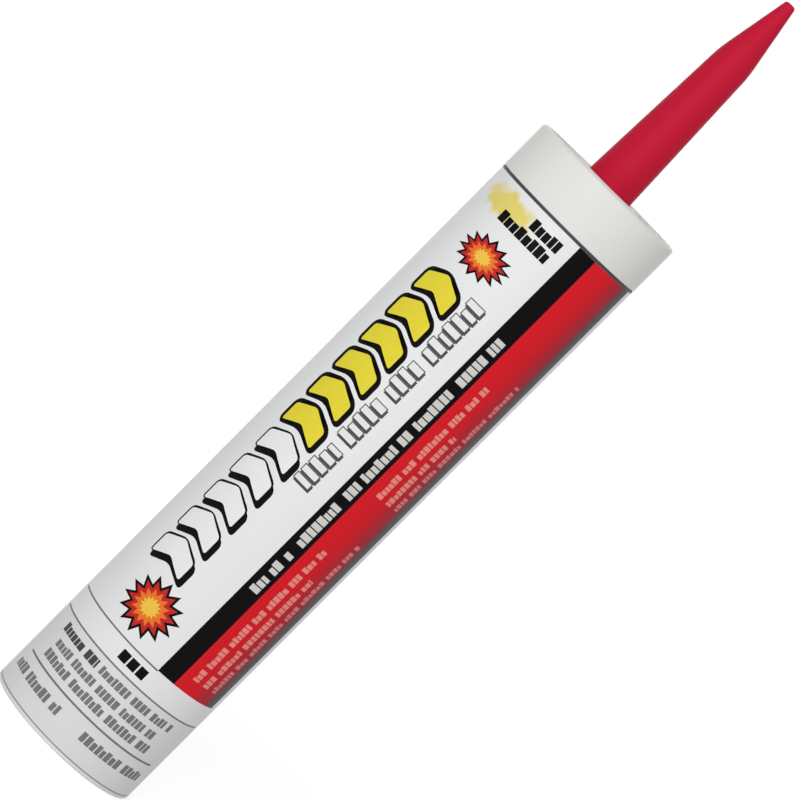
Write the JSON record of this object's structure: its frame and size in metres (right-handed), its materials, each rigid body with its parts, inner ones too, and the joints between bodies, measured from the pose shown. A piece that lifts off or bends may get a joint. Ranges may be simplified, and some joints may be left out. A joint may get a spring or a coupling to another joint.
{
  "type": "caulk tube",
  "caption": "Caulk cartridge with a printed wrap label, flush front cap, uncut two-taper nozzle, sealant fill and a sliding cup plunger in its open rear.",
  "frame": {"origin": "centre of the barrel's rear rim, which the cartridge stands on", "axes": "+Z along the tube towards the nozzle; the middle of the printed front faces -Y; the label's lap seam is at +Y"},
  "size_m": [0.05, 0.0501, 0.2862],
  "materials": {
    "barrel_plastic": "satin moulded polyethylene",
    "label_film": "printed film with a low gloss",
    "cap_plastic": "satin moulded polyethylene",
    "nozzle_plastic": "crimson moulded polyethylene",
    "seal_foil": "plain foil",
    "plunger_plastic": "satin moulded polyethylene",
    "sealant_paste": "smooth paste"
  },
  "bodies": {
    "cartridge": {"barrel": "barrel_plastic", "label": "label_film", "end_cap": "cap_plastic", "nozzle": "nozzle_plastic", "inner_seal": "seal_foil", "sealant": "sealant_paste"},
    "plunger": {"plunger": "plunger_plastic"}
  },
  "joints": [
    {"name": "plunger_slide", "type": "slide", "parent": "cartridge", "child": "plunger", "axis": [0, 0, 1], "range_m": [0, 0.173], "deforming": ["sealant"]}
  ]
}
